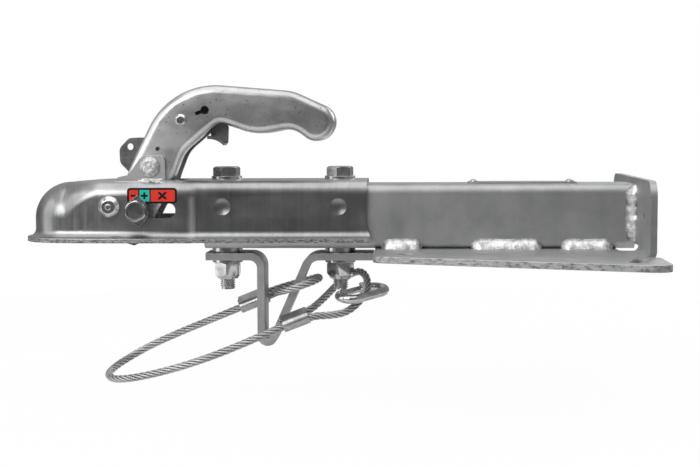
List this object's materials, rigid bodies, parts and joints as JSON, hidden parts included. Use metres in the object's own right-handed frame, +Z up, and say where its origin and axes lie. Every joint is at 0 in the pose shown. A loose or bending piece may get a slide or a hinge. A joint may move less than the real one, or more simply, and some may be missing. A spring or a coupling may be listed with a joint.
{
  "type": "trailer ball coupler",
  "caption": "Pressed-steel ball coupler with a lift handle and ball jaw, bolted to a square drawbar tube that is welded to a flared mounting plate, with a safety rope.",
  "frame": {"origin": "midpoint of the two front mounting holes, on the plate's underside", "axes": "+X along the drawbar towards the mounting plate's tab, the nose is at -X; +Y across, the pointer and the keyhole face -Y; +Z up"},
  "size_m": [0.4846, 0.3114, 0.2334],
  "materials": {
    "zinc_shell": "bright zinc-plated pressed steel, finely brushed",
    "zinc_handle": "satin zinc-plated pressed steel",
    "galvanised": "hot-dip galvanised, matte and mottled",
    "weld_metal": "galvanised weld bead, bright and rippled",
    "zinc_hardware": "bright zinc-plated hardware",
    "spring_steel": "oiled spring steel",
    "inner_steel": "plain machined steel",
    "catch_steel": "dull grey plated sheet steel",
    "nylon": "white locking ring",
    "plain_aluminium": "bare sheet",
    "wire_rope": "twisted bright wire rope",
    "ferrule_metal": "pressed aluminium sleeve"
  },
  "bodies": {
    "chassis": {"coupler_body": "zinc_shell", "drawbar_tube": "galvanised", "mounting_plate": "galvanised", "bottom_welds": "weld_metal", "end_welds": "weld_metal", "rope_bracket": "galvanised", "through_bolts": "zinc_hardware", "top_washers": "zinc_hardware", "spacer_washers": "zinc_hardware", "lower_washers": "zinc_hardware", "lock_nuts": "zinc_hardware", "nylon_rings": "nylon", "handle_pivot_pin": "zinc_hardware", "jaw_pivot_pin": "zinc_hardware", "spring_seat": "inner_steel", "closing_spring": "spring_steel", "guide_rod": "inner_steel", "type_plate": "plain_aluminium", "plate_rivets": "plain_aluminium", "safety_rope": "wire_rope", "rear_ferrule": "ferrule_metal", "front_ferrule": "ferrule_metal", "snap_hook_body": "zinc_hardware", "gate_pin": "zinc_hardware"},
    "slide": {"slide_block": "inner_steel", "indicator_bolt": "zinc_hardware", "pointer_plate": "zinc_hardware", "indicator_washer": "zinc_hardware", "indicator_nut": "zinc_hardware"},
    "jaw": {"ball_jaw": "inner_steel"},
    "handle": {"handle_shell": "zinc_handle", "catch_pin": "zinc_hardware"},
    "catch": {"catch_plate": "catch_steel", "catch_spring": "spring_steel"},
    "hook_gate": {"snap_gate": "zinc_hardware"}
  },
  "joints": [
    {"name": "handle_lift", "type": "hinge", "parent": "chassis", "child": "handle", "pos_m": [-0.2003, 0, 0.0688], "axis": [0, -1, 0], "range_deg": [0, 38.4], "stiffness_Nm_per_rad": 1.2, "springref_deg": -11.46},
    {"name": "lock_slide", "type": "slide", "parent": "chassis", "child": "slide", "axis": [1, 0, 0], "range_m": [0, 0.0236], "deforming": ["closing_spring"]},
    {"name": "jaw_swing", "type": "hinge", "parent": "chassis", "child": "jaw", "pos_m": [-0.2306, 0, 0.0383], "axis": [0, -1, 0], "range_deg": [0, 28.1]},
    {"name": "catch_release", "type": "hinge", "parent": "handle", "child": "catch", "pos_m": [-0.1762, 0, 0.1053], "axis": [0, -1, 0], "range_deg": [0, 8], "stiffness_Nm_per_rad": 0.3, "springref_deg": -8.59},
    {"name": "gate_open", "type": "hinge", "parent": "chassis", "child": "hook_gate", "pos_m": [-0.034, 0.00554, -0.02883], "axis": [-0.0163, -0.1726, 0.9849], "range_deg": [0, 16], "stiffness_Nm_per_rad": 0.05, "springref_deg": -11.46}
  ],
  "couplings": [
    {"joint": "lock_slide", "follows": "handle_lift", "m_per_rad": 0.03507},
    {"joint": "jaw_swing", "follows": "handle_lift", "ratio": 0.729}
  ]
}
